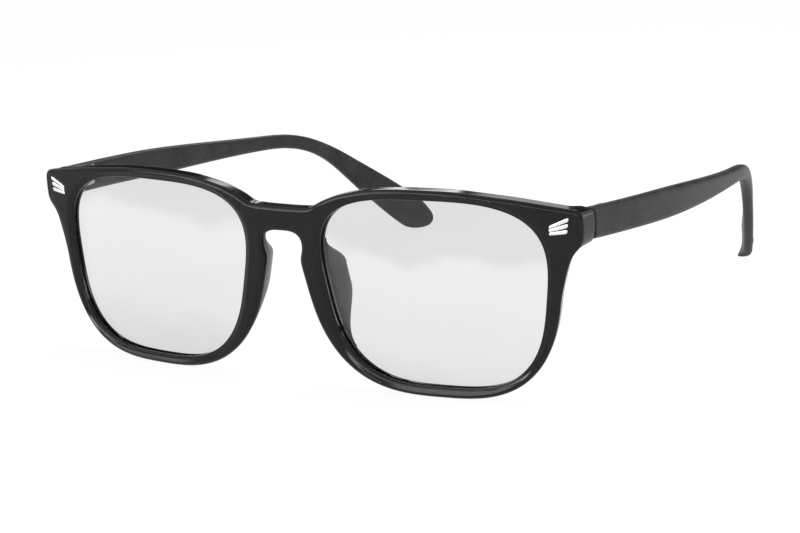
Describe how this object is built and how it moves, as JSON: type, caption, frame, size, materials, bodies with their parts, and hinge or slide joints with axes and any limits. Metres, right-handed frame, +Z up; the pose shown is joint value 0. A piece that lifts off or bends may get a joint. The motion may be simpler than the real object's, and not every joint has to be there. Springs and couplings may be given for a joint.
{
  "type": "glasses with graduated lenses",
  "caption": "Full-rim glasses with a glossy dark front, keyhole bridge, clear graduated lenses, fan-shaped metal inlays and satin temples that fold on barrel hinges.",
  "frame": {"origin": "centre of the footprint on the surface the glasses stand on, under the middle of their overall box", "axes": "+X towards the wearer's left temple, -Y the way the lenses face, +Y back along the open temples, +Z up"},
  "size_m": [0.1464, 0.1508, 0.0462],
  "materials": {
    "front_acetate": "polished",
    "temple_acetate": "satin",
    "pad_acetate": "polished",
    "lens_resin": "clear, polished",
    "hinge_metal": "satin",
    "screw_metal": "bright",
    "trim_metal": "bright"
  },
  "bodies": {
    "front": {"front_frame": "front_acetate", "lens_left": "lens_resin", "lens_right": "lens_resin", "nose_pad_left": "pad_acetate", "nose_pad_right": "pad_acetate", "inlay_left": "trim_metal", "inlay_right": "trim_metal", "front_hinge_left": "hinge_metal", "front_hinge_right": "hinge_metal", "hinge_screw_left": "screw_metal", "hinge_screw_right": "screw_metal"},
    "temple_left": {"temple_left": "temple_acetate", "temple_hinge_left": "hinge_metal"},
    "temple_right": {"temple_right": "temple_acetate", "temple_hinge_right": "hinge_metal"}
  },
  "joints": [
    {"name": "fold_left", "type": "hinge", "parent": "front", "child": "temple_left", "pos_m": [0.0659, -0.06137, 0.03901], "axis": [0, -0.0191, 0.9998], "range_deg": [0, 84]},
    {"name": "fold_right", "type": "hinge", "parent": "front", "child": "temple_right", "pos_m": [-0.0659, -0.06137, 0.03901], "axis": [0, 0.0191, -0.9998], "range_deg": [0, 78]}
  ]
}
